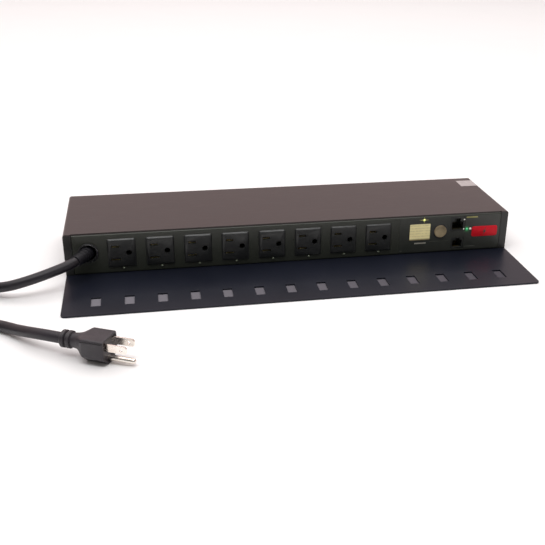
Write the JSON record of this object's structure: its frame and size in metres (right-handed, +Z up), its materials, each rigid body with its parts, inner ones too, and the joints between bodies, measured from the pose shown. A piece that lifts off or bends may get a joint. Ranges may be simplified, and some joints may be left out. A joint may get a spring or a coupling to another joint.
{
  "type": "rack power strip",
  "caption": "Slim steel rack power strip with a row of grounded outlets, a small display, a control button, network and serial sockets, a slotted cord tray and a fixed mains cord.",
  "frame": {"origin": "centre of the underside of the housing and its tray, without the cord", "axes": "+X along the length, towards the network socket; the front panel and tray face -Y; +Z up"},
  "size_m": [0.664, 0.2857, 0.0419],
  "materials": {
    "chassis_paint": "fine textured black powder coat",
    "cover_paint": "fine textured dark brown-grey powder coat",
    "tray_paint": "smooth satin black powder coat",
    "zinc_steel": "bright zinc plate",
    "overlay_film": "satin printed film",
    "contact_brass": "stamped and bright",
    "bus_copper": "bare rolled copper",
    "black_wire": "smooth vinyl",
    "light_pipe": "clear moulded acrylic",
    "display_face": "smooth cream filter",
    "black_plastic": "moulded",
    "button_plastic": "lightly grained",
    "jack_plastic": "moulded",
    "gold_plate": "gold plated",
    "board_green": "solder mask",
    "core_steel": "varnished laminations",
    "winding_tape": "polyester tape",
    "capacitor_sleeve": "shrunk vinyl sleeve",
    "sensor_plastic": "moulded",
    "terminal_plastic": "moulded",
    "ribbon_vinyl": "ribbed vinyl",
    "insulating_film": "aramid paper",
    "white_wire": "smooth vinyl",
    "green_wire": "smooth vinyl",
    "gland_plastic": "moulded nylon",
    "chrome_ring": "bright",
    "boot_rubber": "satin",
    "label_paper": "blank paper label",
    "cord_jacket": "satin vinyl jacket",
    "tie_plastic": "woven strap",
    "plug_vinyl": "satin moulded vinyl",
    "prong_brass": "bright",
    "outlet_plastic": "moulded nylon"
  },
  "bodies": {
    "housing": {"chassis": "chassis_paint", "top_cover": "cover_paint", "cord_tray": "tray_paint", "tray_screws": "zinc_steel", "cover_screws": "zinc_steel", "ear_nuts": "zinc_steel", "front_overlay": "overlay_film", "outlet_1": "outlet_plastic", "outlet_2": "outlet_plastic", "outlet_3": "outlet_plastic", "outlet_4": "outlet_plastic", "outlet_5": "outlet_plastic", "outlet_6": "outlet_plastic", "outlet_7": "outlet_plastic", "outlet_8": "outlet_plastic", "hot_contacts": "contact_brass", "neutral_contacts": "contact_brass", "ground_contacts": "contact_brass", "neutral_bus_bar": "bus_copper", "ground_bus_bar": "bus_copper", "hot_leads": "black_wire", "outlet_lights": "light_pipe", "status_lights": "light_pipe", "display_window": "display_face", "display_module": "black_plastic", "button_switch": "black_plastic", "network_jack": "jack_plastic", "network_contacts": "gold_plate", "serial_jack": "jack_plastic", "serial_contacts": "gold_plate", "control_board": "board_green", "main_board": "board_green", "board_standoffs": "zinc_steel", "board_screws": "zinc_steel", "relays": "black_plastic", "transformer_core": "core_steel", "transformer_winding": "winding_tape", "capacitors": "capacitor_sleeve", "current_sensor": "sensor_plastic", "input_terminal": "terminal_plastic", "ribbon_cable": "ribbon_vinyl", "insulating_sheet": "insulating_film", "ground_stud": "zinc_steel", "ground_nut": "zinc_steel", "hot_wire": "black_wire", "neutral_wire": "white_wire", "ground_wire": "green_wire", "gland_body": "gland_plastic", "gland_locknut": "gland_plastic", "gland_ring": "chrome_ring", "strain_boot": "boot_rubber", "inventory_label": "label_paper", "cord_from_box": "cord_jacket", "cord_coil": "cord_jacket", "cord_ties": "tie_plastic", "cord_to_plug": "cord_jacket", "plug_body": "plug_vinyl", "plug_prongs": "prong_brass"},
    "button": {"control_button": "button_plastic", "switch_plunger": "black_plastic"}
  },
  "joints": [
    {"name": "button_press", "type": "slide", "parent": "housing", "child": "button", "axis": [0, 1, 0], "range_m": [0, 0.001], "stiffness_N_per_m": 1000, "springref_m": -0.001}
  ]
}
